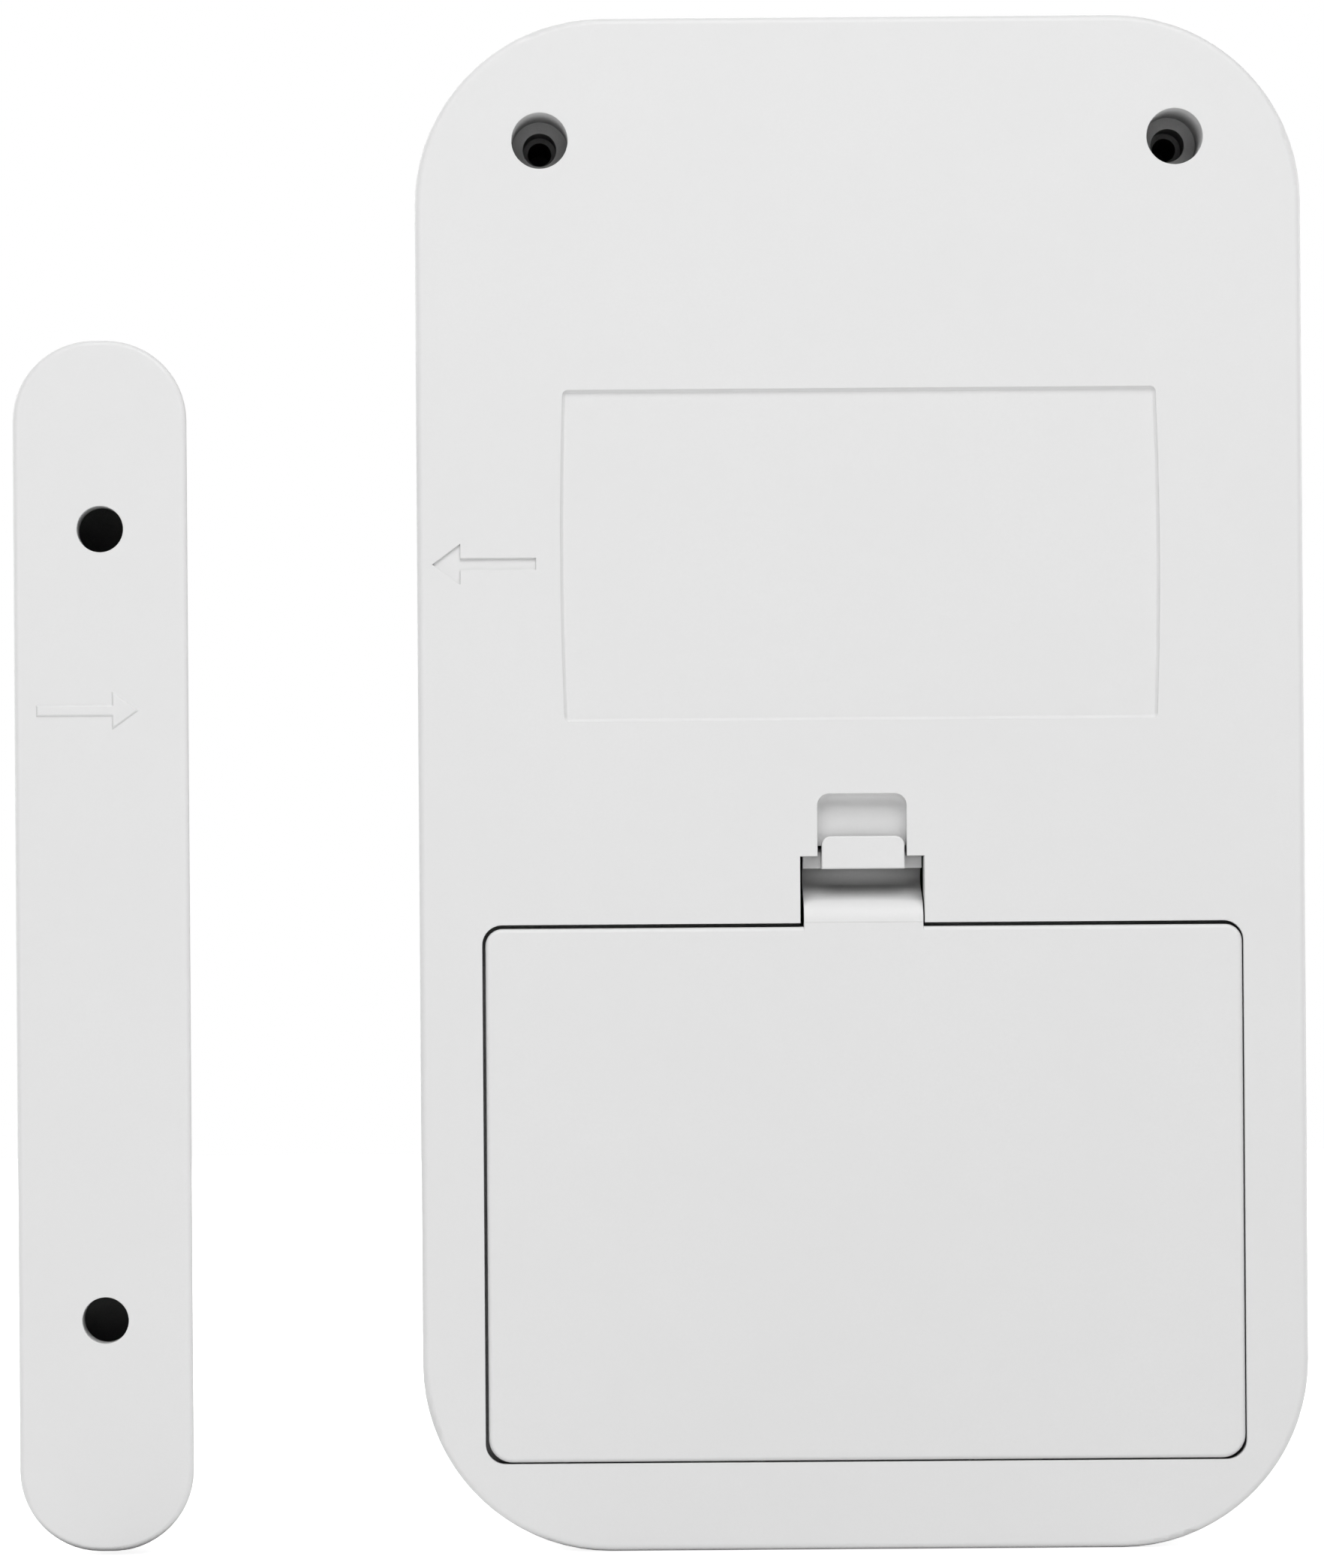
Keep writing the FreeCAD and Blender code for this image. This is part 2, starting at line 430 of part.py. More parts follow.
def battery_cell(number):
    side, z = plus_side(number), CELL_Z[number]
    tip = side * (BAY_HALF_L - CONTACT_T)
    inwards = Vector(-side, 0, 0)
    can = Part.makeCylinder(CELL_R, CELL_L - NUB_L, Vector(tip - side * NUB_L, -CELL_DEPTH, z), inwards)
    can = can.makeFillet(CELL_EDGE_R, [e for e in can.Edges if e.BoundBox.XLength < NEAR])
    nub = Part.makeCylinder(NUB_R, NUB_L + CELL_EDGE_R, Vector(tip, -CELL_DEPTH, z), inwards)
    return joined(can, nub)


def contact_spring(number):
    """The coil that presses on a cell's negative end."""
    side, z = -plus_side(number), CELL_Z[number]
    room = 2 * (BAY_HALF_L - CONTACT_T) - CELL_L
    length = room - 2 * (SPRING_WIRE_R + SPRING_END_GAP)
    spring = coil(SPRING_COIL_R, SPRING_WIRE_R, SPRING_TURNS, length)
    start = BAY_HALF_L - CONTACT_T - SPRING_WIRE_R - SPRING_END_GAP
    spring.translate(Vector(side * start - (length if side > 0 else 0), -CELL_DEPTH, z))
    return spring


def contact_plate(side, top_cell, bottom_cell, has_terminal):
    """A sprung-steel plate on one end wall of the bay, across one or two cells."""
    x = sorted((side * (BAY_HALF_L - CONTACT_T), side * BAY_HALF_L))
    z = (CELL_Z[bottom_cell] - CONTACT_HALF_W, CELL_Z[top_cell] + CONTACT_HALF_W)
    plate = block(x, z, CONTACT_DEPTHS)
    if not has_terminal:
        return plate
    middle = CELL_Z[top_cell]
    x = sorted((side * (BAY_HALF_L - CONTACT_T), side * TERMINAL_END_X))
    terminal = block(x, (middle - TERMINAL_HALF_W, middle + TERMINAL_HALF_W), TERMINAL_DEPTHS)
    return joined(plate, terminal)


def battery_wire(side, cell):
    """A lead from a terminal up the side of the bay and down onto the board."""
    start_z = CELL_Z[cell] + TERMINAL_HALF_W
    x = side * WIRE_X
    return tube([(x, -WIRE_DEPTH, start_z), (x, -WIRE_DEPTH, WIRE_TOP_Z),
                 (x, -BOARD_DEPTHS[0], WIRE_TOP_Z)], WIRE_R, WIRE_BEND_R)


# ---------------------------------------------------------------- main unit: electronics
def circuit_board():
    wide = rounded_block((-BOARD_HALF_W, BOARD_HALF_W), (BOARD_Z[0], BOARD_STEP_Z), BOARD_DEPTHS,
                         BOARD_CORNER_R)
    narrow = rounded_block((-BOARD_STEP_HALF_W, BOARD_STEP_HALF_W),
                           (BOARD_STEP_Z - BOARD_STEP_LAP, BOARD_Z[1]), BOARD_DEPTHS, BOARD_CORNER_R)
    holes = [pin(x, z, BOARD_HOLE_R, (BOARD_DEPTHS[0] - REACH, BOARD_DEPTHS[1] + REACH))
             for x, z in BOARD_SCREW_SPOTS]
    return joined(wide, narrow).cut(holes)


def board_screws():
    """Three identical pan-head screws, as one group of solids."""
    screws = []
    top = BOARD_DEPTHS[0] - SCREW_HEAD_H
    for x, z in BOARD_SCREW_SPOTS:
        head = round_at_depth(pin(x, z, SCREW_HEAD_R, (top, BOARD_DEPTHS[0])), top, SCREW_HEAD_EDGE_R)
        shank = pin(x, z, SCREW_SHANK_R, (BOARD_DEPTHS[0] - OVERLAP, BOARD_DEPTHS[0] + SCREW_L))
        cross = [block((x - a, x + a), (z - b, z + b), (top - REACH, top + CROSS_DEPTH))
                 for a, b in ((CROSS_HALF_L, CROSS_HALF_W), (CROSS_HALF_W, CROSS_HALF_L))]
        screws.append(joined(head, shank).cut(cross))
    return Part.makeCompound(screws)


def reed_glass():
    tube_z = ARROW_Z - REED_L / 2
    glass = Part.makeCylinder(REED_R, REED_L, Vector(REED_X, -REED_DEPTH, tube_z), Vector(0, 0, 1))
    return glass.makeFillet(REED_END_R, [e for e in glass.Edges if e.BoundBox.ZLength < NEAR])


def reed_leads():
    """The switch's two wires, each straight out of the glass and down onto the board."""
    leads = []
    for way in (-1, 1):
        start, turn = ARROW_Z + way * REED_L / 2, ARROW_Z + way * (REED_L / 2 + LEAD_STRAIGHT)
        leads.append(tube([(REED_X, -REED_DEPTH, start), (REED_X, -REED_DEPTH, turn),
                           (REED_X, -BOARD_DEPTHS[0], turn)], LEAD_R, LEAD_BEND_R))
    return Part.makeCompound(leads)


def on_board(x, z, half_w, half_h, height, edge_r):
    """A package that stands on the board's rear side."""
    top = BOARD_DEPTHS[0] - height
    package = block((x - half_w, x + half_w), (z - half_h, z + half_h), (top, BOARD_DEPTHS[0]))
    return round_at_depth(package, top, edge_r)


def supply_capacitor():
    base = on_board(CAPACITOR_X, CAPACITOR_Z, CAPACITOR_BASE_HALF, CAPACITOR_BASE_HALF,
                    CAPACITOR_BASE_H, CAPACITOR_BASE_EDGE_R)
    can = pin(CAPACITOR_X, CAPACITOR_Z, CAPACITOR_R, (CAPACITOR_TOP_DEPTH, BOARD_DEPTHS[0] - OVERLAP))
    return joined(base, round_at_depth(can, CAPACITOR_TOP_DEPTH, CAPACITOR_EDGE_R))


def antenna_coil():
    """A wound wire antenna that stands on a leg at each end, soldered to the board."""
    winding = coil(ANTENNA_R, ANTENNA_WIRE_R, ANTENNA_TURNS, 2 * ANTENNA_HALF_L)
    winding.translate(Vector(-ANTENNA_HALF_L, -ANTENNA_DEPTH, ANTENNA_Z))
    leg_top = ANTENNA_DEPTH + ANTENNA_R + ANTENNA_WIRE_R
    legs = [pin(side * ANTENNA_HALF_L, ANTENNA_Z, ANTENNA_WIRE_R, (leg_top, BOARD_DEPTHS[0]))
            for side in (-1, 1)]
    return Part.makeCompound([winding, *legs])


def status_led():
    half_w, half_h = LED_HALF
    return block((-half_w, half_w), (LED_Z - half_h, LED_Z + half_h),
                 (BOARD_DEPTHS[1], BOARD_DEPTHS[1] + LED_H))


def light_pipe():
    rod = pin(0, LED_Z, PIPE_R, (BOARD_DEPTHS[1] + LED_H, THICKNESS))
    return round_at_depth(rod, THICKNESS, PIPE_DOME)


def pair_switch():
    body = on_board(BUTTON_X, BUTTON_Z, SWITCH_HALF, SWITCH_HALF,
                    BOARD_DEPTHS[0] - SWITCH_TOP_DEPTH, SWITCH_EDGE_R)
    well = pin(BUTTON_X, BUTTON_Z, PLUNGER_WELL_R, (SWITCH_TOP_DEPTH - REACH, PLUNGER_WELL_DEPTH))
    return body.cut(well)


def switch_plunger():
    return pin(BUTTON_X, BUTTON_Z, PLUNGER_R, (BUTTON_DEPTHS[1], PLUNGER_END_DEPTH))


def pair_button():
    stem = pin(BUTTON_X, BUTTON_Z, BUTTON_R, BUTTON_DEPTHS)
    stem = round_at_depth(stem, BUTTON_DEPTHS[0], BUTTON_EDGE_R)
    return joined(stem, pin(BUTTON_X, BUTTON_Z, BUTTON_FLANGE_R, BUTTON_FLANGE_DEPTHS))


# ---------------------------------------------------------------- magnet unit
def magnet_outline(inset, depth):
    """The magnet unit's outline, drawn in by inset, as a wire at one depth."""
    x, z, corner_r = MAGNET_WIDTH / 2 - inset, MAGNET_HEIGHT / 2 - inset, MAGNET_CORNER_R - inset
    return rounded_outline((MAGNET_X - x, MAGNET_X + x), (MAGNET_Z - z, MAGNET_Z + z), depth,
                           corner_r, corner_r)


def magnet_block(inset, depth):
    """The magnet unit's outline, drawn in by inset, over a depth range with straight sides."""
    return Part.Face(magnet_outline(inset, depth[0])).extrude(Vector(0, depth[0] - depth[1], 0))


def magnet_outside(depth):
    """The magnet unit's outer form over a depth range, with its tapered sides."""
    return Part.makeLoft([magnet_outline(MAGNET_TAPER * d, d) for d in depth], True, True)


def magnet_base():
    shell = round_at_depth(magnet_outside((0, MAGNET_SEAM)), 0, MAGNET_BACK_EDGE_R)
    shell = bevel_at_depth(shell, MAGNET_SEAM, GROOVE)
    shell = shell.cut(magnet_block(MAGNET_WALL, (MAGNET_BACK_T, MAGNET_SEAM + REACH)))
    tongue = magnet_block(MAGNET_TONGUE_INSET, (MAGNET_SEAM - REACH, MAGNET_SEAM + MAGNET_TONGUE_H))
    tongue = tongue.cut(magnet_block(MAGNET_WALL, (0, MAGNET_SEAM + MAGNET_TONGUE_H + REACH)))
    bosses = [pin(MAGNET_X, z, MAGNET_BOSS_R, (MAGNET_BACK_T - REACH, MAGNET_BOSS_DEPTH))
              for z in MAGNET_HOLE_Z]
    mark = arrow(MAGNET_ARROW_TIP_X, MAGNET_ARROW_Z, -1, (-MAGNET_ARROW_H, REACH), MAGNET_ARROW_HEAD_L,
                 MAGNET_ARROW_SHAFT_L, MAGNET_ARROW_HEAD_HALF, MAGNET_ARROW_SHAFT_HALF)
    mark = bevel_at_depth(mark, -MAGNET_ARROW_H, MAGNET_ARROW_BEVEL)
    holes = [pin(MAGNET_X, z, MAGNET_HOLE_R, (-REACH, MAGNET_BOSS_DEPTH + REACH)) for z in MAGNET_HOLE_Z]
    return joined(shell, tongue, mark, *bosses).cut(holes)


def magnet_cover():
    inner_depth = MAGNET_THICKNESS - MAGNET_FRONT_T
    shell = magnet_outside((MAGNET_SEAM, MAGNET_THICKNESS))
    shell = round_at_depth(shell, MAGNET_THICKNESS, MAGNET_FRONT_EDGE_R)
    shell = bevel_at_depth(shell, MAGNET_SEAM, GROOVE)
    hollow = magnet_block(MAGNET_WALL, (MAGNET_SEAM - REACH, inner_depth))
    rebate = magnet_block(MAGNET_REBATE_INSET, (MAGNET_SEAM - REACH, MAGNET_SEAM + MAGNET_REBATE_H))
    shell = shell.cut([round_at_depth(hollow, inner_depth, MAGNET_INNER_R), rebate])
    half_w = MAGNET_WIDTH / 2 - MAGNET_WALL + OVERLAP
    ribs = []
    for way in (-1, 1):
        z = sorted((MAGNET_ARROW_Z + way * (BAR_HALF_L + RIB_GAP),
                    MAGNET_ARROW_Z + way * (BAR_HALF_L + RIB_GAP + RIB_T)))
        ribs.append(block((MAGNET_X - half_w, MAGNET_X + half_w), z,
                          (inner_depth - BAR_T, inner_depth + OVERLAP)))
    return joined(shell, *ribs)


def bar_magnet():
    inner_depth = MAGNET_THICKNESS - MAGNET_FRONT_T
    bar = block((MAGNET_X - BAR_HALF_W, MAGNET_X + BAR_HALF_W),
                (MAGNET_ARROW_Z - BAR_HALF_L, MAGNET_ARROW_Z + BAR_HALF_L),
                (inner_depth - BAR_T, inner_depth))
    return bar.makeFillet(BAR_EDGE_R, bar.Edges)


# ---------------------------------------------------------------- output
def parts():
    """Every sub-part's shape by its node name."""
    last = CELL_COUNT - 1
    shapes = {
        "rear_case": rear_case(),
        "front_shell": front_shell(),
        "battery_door": battery_door(),
        "latch_spring": latch_spring(),
        "latch_catch": latch_catch(),
        "contact_plus_end": contact_plate(-1, 0, 0, True),
        "contact_link_left": contact_plate(-1, 1, last, False),
        "contact_link_right": contact_plate(1, 0, 1, False),
        "contact_minus_end": contact_plate(1, last, last, True),
        "battery_wire_red": battery_wire(-1, 0),
        "battery_wire_black": battery_wire(1, last),
        "circuit_board": circuit_board(),
        "board_screws": board_screws(),
        "reed_glass": reed_glass(),
        "reed_leads": reed_leads(),
        "supply_capacitor": supply_capacitor(),
        "antenna_coil": antenna_coil(),
        "status_led": status_led(),
        "light_pipe": light_pipe(),
        "pair_switch": pair_switch(),
        "switch_plunger": switch_plunger(),
        "pair_button": pair_button(),
        "magnet_base": magnet_base(),
        "magnet_cover": magnet_cover(),
        "bar_magnet": bar_magnet(),
    }
    for name, sizes in PACKAGES.items():
        shapes[name] = on_board(*sizes)
    for number in range(CELL_COUNT):
        shapes[f"battery_cell_{number + 1}"] = battery_cell(number)
        shapes[f"contact_spring_{number + 1}"] = contact_spring(number)
    return shapes


def main():
    os.makedirs("parts", exist_ok=True)
    for name, shape in parts().items():
        if not shape.isValid() or not shape.Solids:
            raise ValueError(f"{name} is not a valid solid")
        shape.exportStep(f"parts/{name}.step")
        print(f"{name}: {len(shape.Solids)} solid(s), {shape.Volume:.1f} mm3")


main()
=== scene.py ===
"""A two-part door contact seen from behind: its looks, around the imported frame.

Metres, +Z up. The backs of both units face +Y, and the magnet unit stands at +X.
"""

import json
import math

import bmesh
import bpy
from mathutils import Matrix, Vector


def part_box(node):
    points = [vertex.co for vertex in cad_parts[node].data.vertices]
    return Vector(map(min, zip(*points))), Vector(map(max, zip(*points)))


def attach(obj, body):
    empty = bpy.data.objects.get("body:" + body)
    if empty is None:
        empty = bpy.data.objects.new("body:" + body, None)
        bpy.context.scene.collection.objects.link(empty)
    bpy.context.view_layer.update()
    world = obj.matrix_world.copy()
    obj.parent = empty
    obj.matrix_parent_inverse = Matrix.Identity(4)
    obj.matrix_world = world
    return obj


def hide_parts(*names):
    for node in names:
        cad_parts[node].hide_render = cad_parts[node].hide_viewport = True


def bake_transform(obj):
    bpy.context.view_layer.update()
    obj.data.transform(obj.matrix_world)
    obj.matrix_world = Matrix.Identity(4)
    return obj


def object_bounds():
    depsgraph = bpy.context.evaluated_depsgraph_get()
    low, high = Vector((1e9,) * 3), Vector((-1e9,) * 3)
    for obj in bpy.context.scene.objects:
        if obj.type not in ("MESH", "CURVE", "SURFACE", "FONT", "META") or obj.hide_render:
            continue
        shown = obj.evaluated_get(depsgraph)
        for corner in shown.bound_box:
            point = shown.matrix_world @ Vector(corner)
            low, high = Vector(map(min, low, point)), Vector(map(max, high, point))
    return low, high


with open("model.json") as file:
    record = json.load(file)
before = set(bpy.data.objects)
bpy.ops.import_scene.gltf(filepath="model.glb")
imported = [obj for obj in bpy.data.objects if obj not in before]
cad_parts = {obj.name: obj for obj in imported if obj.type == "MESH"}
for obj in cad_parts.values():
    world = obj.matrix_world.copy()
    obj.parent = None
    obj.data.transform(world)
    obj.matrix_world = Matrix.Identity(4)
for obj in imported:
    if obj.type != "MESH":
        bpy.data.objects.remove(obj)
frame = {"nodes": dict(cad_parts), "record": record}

MM = 0.001
CAD_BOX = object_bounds()
SLOT_OF = {part["node"]: part["material_slot"] for part in frame["record"]["subparts"]}

# ---------------------------------------------------------------- camera and light
CAMERA = Vector((24.3, 450.0, -12.65)) * MM     # behind the object, a little to one side of its middle
VIEW_CENTRE = Vector((15.03, 0.0, 0.02)) * MM   # the point of the back plane in the middle of the view
VIEW_HEIGHT = 118.0 * MM
SENSOR = 36.0                   # its width in millimetres, as Blender's cameras have it
ROLL = math.radians(-0.42)

# each lamp's place, its width and height, and its power; all of them face the origin
LAMPS = {
    "key": ((0.0, 0.45, 0.45), (0.6, 0.4), 3.25),
    "top": ((0.0, 0.16, 0.60), (0.7, 0.3), 0.35),
    "front_fill": ((0.20, -0.60, 0.35), (0.6, 0.6), 3.0),
    "side_fill_magnet": ((0.60, -0.32, 0.12), (0.3, 0.25), 1.4),
    "side_fill_main": ((-0.60, -0.32, 0.12), (0.3, 0.25), 1.4),
}
AMBIENT = 0.15                  # how much light the white surroundings give
FLOOR_GLOW = 0.85               # added where the floor is seen, so that it reads as white paper
FLOOR_R, FLOOR_GAP, FLOOR_SEGMENTS = 0.9, 0.05 * MM, 96

# ---------------------------------------------------------------- the casing's plastic
CASING_GREY = (0.775, 0.775, 0.775, 1.0)
PLASTIC_GRAIN, PLASTIC_RELIEF, PLASTIC_EDGE_R = 0.22 * MM, 0.006 * MM, 0.10 * MM
FLOW_MARKS, RUBBED_AND_HIGHLIT_SPOTS = 14 * MM, 1.3 * MM
# painted shade in holes, slots and troughs: how far it looks for surfaces, how much darker the colour gets,
# its samples
PAINTED_SHADE_REACH, PAINTED_SHADE_DARKNESS, PAINTED_SHADE_SAMPLES = 12.0 * MM, 0.90, 8
# painted shade: a spot's colour starts to darken when it sees less than this share of the space in front of
# it;
# other pieces count too, so a closed door darkens the bay behind it
HOLE_SHADE_OPENNESS, MAGNET_HOLE_SHADE_OPENNESS, TROUGH_SHADE_OPENNESS = 0.17, 0.45, 0.62

# ---------------------------------------------------------------- other finishes
METAL_GRAIN, METAL_STAIN, METAL_RELIEF, METAL_EDGE_R = 0.12 * MM, 1.8 * MM, 0.004 * MM, 0.06 * MM
WEAVE_SCALE, WEAVE_DISTORTION = 400.0, 0.6
NOISE_SPAN = (0.3, 0.7)         # most of a noise texture's values lie in it
EDGE_SPAN = (0.80, 0.995)       # how far the rounded and the flat normal agree, at an edge and on a flat
EDGE_SAMPLES = 6

# ---------------------------------------------------------------- latch strip
STRIP_T = 0.8 * MM
SHOULDER_R, TROUGH_R = 2.0 * MM, 0.7 * MM       # the radii of its seen face at its two bends
STRIP_FACE_DEPTH = 0.05 * MM                    # how far its seen face starts below the backs
ARC_STEPS, STRIP_ROWS = 14, 12

# ---------------------------------------------------------------- battery cells
CELL_RIM_W, CELL_RIM_H, CELL_SLEEVE_LIP = 0.95 * MM, 0.22 * MM, 0.35 * MM
NUB_R, NUB_H, NUB_EDGE = 1.9 * MM, 0.9 * MM, 0.3 * MM
CELL_SEGMENTS = 72

SMOOTH_ANGLE = math.radians(35)  # new meshes are smooth except at edges sharper than this


# ---------------------------------------------------------------- node helpers
class Tree:
    """A material's nodes while they are being joined up."""

    def __init__(self, name):
        self.material = bpy.data.materials.new(name)
        self.material.use_nodes = True
        self.nodes = self.material.node_tree.nodes
        self.links = self.material.node_tree.links
        self.shader = self.nodes["Principled BSDF"]
        self.place = self.add("ShaderNodeTexCoord").outputs["Object"]

    def add(self, kind, inputs=None, **settings):
        """A node with its settings. An input is a value or another node's output."""
        node = self.nodes.new(kind)
        for key, value in settings.items():
            setattr(node, key, value)
        for key, value in (inputs or {}).items():
            self.put(node.inputs[key], value)
        return node

    def put(self, socket, value):
        if isinstance(value, bpy.types.NodeSocket):
            self.links.new(value, socket)
        else:
            socket.default_value = value

    def set(self, **values):
        for key, value in values.items():
            self.put(self.shader.inputs[key.replace("_", " ")], value)

    def noise(self, size, detail=3.0, roughness=0.55, place=None):
        """Noise whose features are about size metres across."""
        node = self.add("ShaderNodeTexNoise", {"Vector": place or self.place, "Scale": 1.0 / size,
                                               "Detail": detail, "Roughness": roughness})
        return node.outputs["Fac"]

    def stretched(self, scale):
        """Object coordinates, multiplied along each axis."""
        return self.add("ShaderNodeMapping", {"Vector": self.place, "Scale": scale}).outputs["Vector"]

    def math(self, operation, a, b):
        return self.add("ShaderNodeMath", {0: a, 1: b}, operation=operation).outputs[0]

    def spread(self, value, low, high, source=(0.0, 1.0)):
        """The value moved from one range to another, and held within it."""
        node = self.add("ShaderNodeMapRange", {"Value": value, "From Min": source[0], "From Max": source[1],
                                               "To Min": low, "To Max": high})
        return node.outputs["Result"]

    def blend(self, share, first, second):
        """A colour between two colours."""
        node = self.add("ShaderNodeMix", data_type="RGBA")
        self.put(node.inputs["Factor"], share)
        self.put(node.inputs[6], first)
        self.put(node.inputs[7], second)
        return node.outputs[2]

    def soft_edges(self, radius):
        """(normal rounded over the edges, 0 on flats to 1 on edges)"""
        rounded = self.add("ShaderNodeBevel", {"Radius": radius}, samples=EDGE_SAMPLES).outputs["Normal"]
        flat = self.add("ShaderNodeNewGeometry").outputs["Normal"]
        along = self.add("ShaderNodeVectorMath", {0: rounded, 1: flat}, operation="DOT_PRODUCT")
        return rounded, self.spread(along.outputs["Value"], 1.0, 0.0, source=EDGE_SPAN)

    def painted_crevice_shade(self, shade_openness):
        """Painted shade mask: 0 deep in holes and slots, rising to 1 where the surface is more open than
        shade_openness.
        """
        node = self.add("ShaderNodeAmbientOcclusion", {"Distance": PAINTED_SHADE_REACH}, samples=PAINTED_SHADE_SAMPLES)
        return self.spread(node.outputs["AO"], 0.0, 1.0, source=(0.0, shade_openness))

    def bump(self, height, depth, strength, normal=None):
        inputs = {"Height": height, "Distance": depth, "Strength": strength}
        if normal is not None:
            inputs["Normal"] = normal
        return self.add("ShaderNodeBump", inputs).outputs["Normal"]


def grey(value):
    return (value, value, value, 1.0)


def shade(colour, factor):
    return (colour[0] * factor, colour[1] * factor, colour[2] * factor, 1.0)


# ---------------------------------------------------------------- materials
def moulded_plastic(name, colour, roughness=0.5, shade_openness=None):
    """Plastic with the fine texture of its mould, faint flow marks, and edges a little lighter in spots:
    partly rubbed, partly a painted highlight.

    Below the given shade_openness its colour grows darker, a painted shade in holes and slots.
    """
    tree = Tree(name)
    fine = tree.noise(PLASTIC_GRAIN, detail=4.0, roughness=0.65)
    flow = tree.noise(FLOW_MARKS, detail=2.0)
    rounded, edges = tree.soft_edges(PLASTIC_EDGE_R)
    # edges lighter in random spots: partly wear, partly a painted highlight
    spots = tree.spread(tree.noise(RUBBED_AND_HIGHLIT_SPOTS), 0.1, 0.8, source=(0.35, 0.65))
    rubbed_and_highlit = tree.math("MULTIPLY", edges, spots)
    body = tree.blend(tree.spread(flow, 0.0, 1.0, source=NOISE_SPAN), shade(colour, 0.990),
                      shade(colour, 1.008))
    speckled = tree.blend(tree.spread(fine, 0.0, 1.0, source=NOISE_SPAN), shade(colour, 0.985), body)
    finish = tree.blend(rubbed_and_highlit, speckled, shade(colour, 1.05))
    if shade_openness:
        # painted shade: the colour darkens deep in holes, slots and troughs
        finish = tree.blend(tree.painted_crevice_shade(shade_openness), shade(colour, 1.0 - PAINTED_SHADE_DARKNESS), finish)
    tree.set(Base_Color=finish,
             Roughness=tree.spread(fine, roughness - 0.06, roughness + 0.08, source=NOISE_SPAN),
             Normal=tree.bump(fine, PLASTIC_RELIEF, 0.6, rounded))
    tree.shader.inputs["IOR"].default_value = 1.46
    return tree.material


def metal(name, colour, roughness, brush=None):
    """Plated or bare metal. brush says how many times finer the grain is along each axis."""
    tree = Tree(name)
    grain = tree.noise(METAL_GRAIN, detail=4.0, place=tree.stretched(brush) if brush else None)
    stain = tree.noise(METAL_STAIN)
    rounded, edges = tree.soft_edges(METAL_EDGE_R)
    dull = tree.blend(tree.spread(stain, 0.0, 1.0, source=NOISE_SPAN), shade(colour, 0.86), colour)
    # edges lighter than the rest: partly wear, partly a painted highlight
    tree.set(Base_Color=tree.blend(edges, dull, shade(colour, 1.12)),
             Roughness=tree.spread(grain, roughness - 0.06, roughness + 0.10, source=NOISE_SPAN),
             Normal=tree.bump(grain, METAL_RELIEF, 0.5, rounded))
    tree.shader.inputs["Metallic"].default_value = 1.0
    return tree.material


def shrunk_film(name, colour):
    """The cell's plain sleeve: satin, with faint wrinkles round the cell and scuffs."""
    tree = Tree(name)
    wrinkles = tree.noise(2.4 * MM, place=tree.stretched((4.0, 1.0, 1.0)))
    scuffs = tree.noise(0.35 * MM, detail=5.0, roughness=0.7)
    worn = tree.spread(scuffs, 0.0, 0.35, source=(0.62, 0.80))
    tree.set(Base_Color=tree.blend(worn, colour, shade(colour, 2.2)),
             Roughness=tree.spread(scuffs, 0.26, 0.42, source=NOISE_SPAN),
             Normal=tree.bump(wrinkles, 0.05 * MM, 0.35))
    tree.shader.inputs["Coat Weight"].default_value = 0.35
    return tree.material


def laminate(name, colour):
    """Solder mask over a woven board, with the weave just showing."""
    tree = Tree(name)
    bands = {"Vector": tree.place, "Scale": WEAVE_SCALE, "Distortion": WEAVE_DISTORTION}
    threads = [tree.add("ShaderNodeTexWave", bands, bands_direction=axis).outputs["Fac"] for axis in "XZ"]
    cloth = tree.math("MULTIPLY", *threads)
    tree.set(Base_Color=tree.blend(cloth, colour, shade(colour, 1.35)),
             Roughness=tree.spread(tree.noise(0.6 * MM), 0.28, 0.42),
             Normal=tree.bump(cloth, 0.01 * MM, 0.3))
    return tree.material


def clear(name, colour, roughness):
    tree = Tree(name)
    smear = tree.noise(0.9 * MM)
    tree.set(Base_Color=tree.blend(smear, colour, shade(colour, 0.94)),
             Roughness=tree.spread(smear, roughness, roughness + 0.10),
             Normal=tree.bump(smear, 0.004 * MM, 0.3))
    tree.shader.inputs["Transmission Weight"].default_value = 0.85
    tree.shader.inputs["IOR"].default_value = 1.49
    return tree.material


